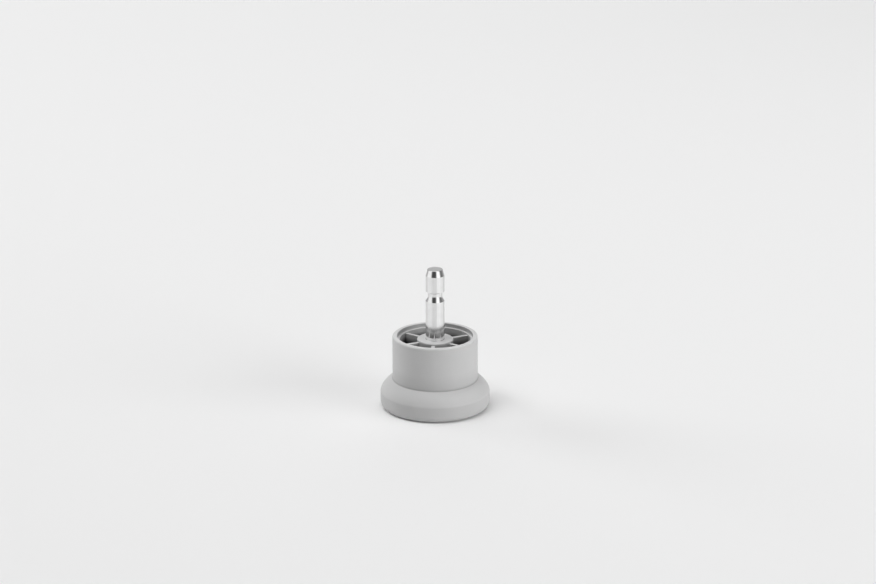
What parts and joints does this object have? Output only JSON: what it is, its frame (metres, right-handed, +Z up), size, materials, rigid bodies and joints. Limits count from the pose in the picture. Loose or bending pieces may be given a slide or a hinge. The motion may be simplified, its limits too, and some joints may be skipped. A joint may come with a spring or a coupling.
{
  "type": "furniture glide foot",
  "caption": "Short plug-in furniture foot: a ribbed grey plastic cup on a broad round foot, with a grooved steel stem that pushes into the socket of a chair or desk base.",
  "frame": {"origin": "centre of the flat sole, which stands on the floor", "axes": "+Z up along the stem's axis, +X along one rib of the cup"},
  "size_m": [0.0642, 0.0642, 0.0836],
  "materials": {
    "grey_plastic": "fine matte moulded texture",
    "plated_steel": "bright plated, turned"
  },
  "bodies": {
    "root": {"glide_body": "grey_plastic", "stem": "plated_steel"}
  },
  "joints": []
}
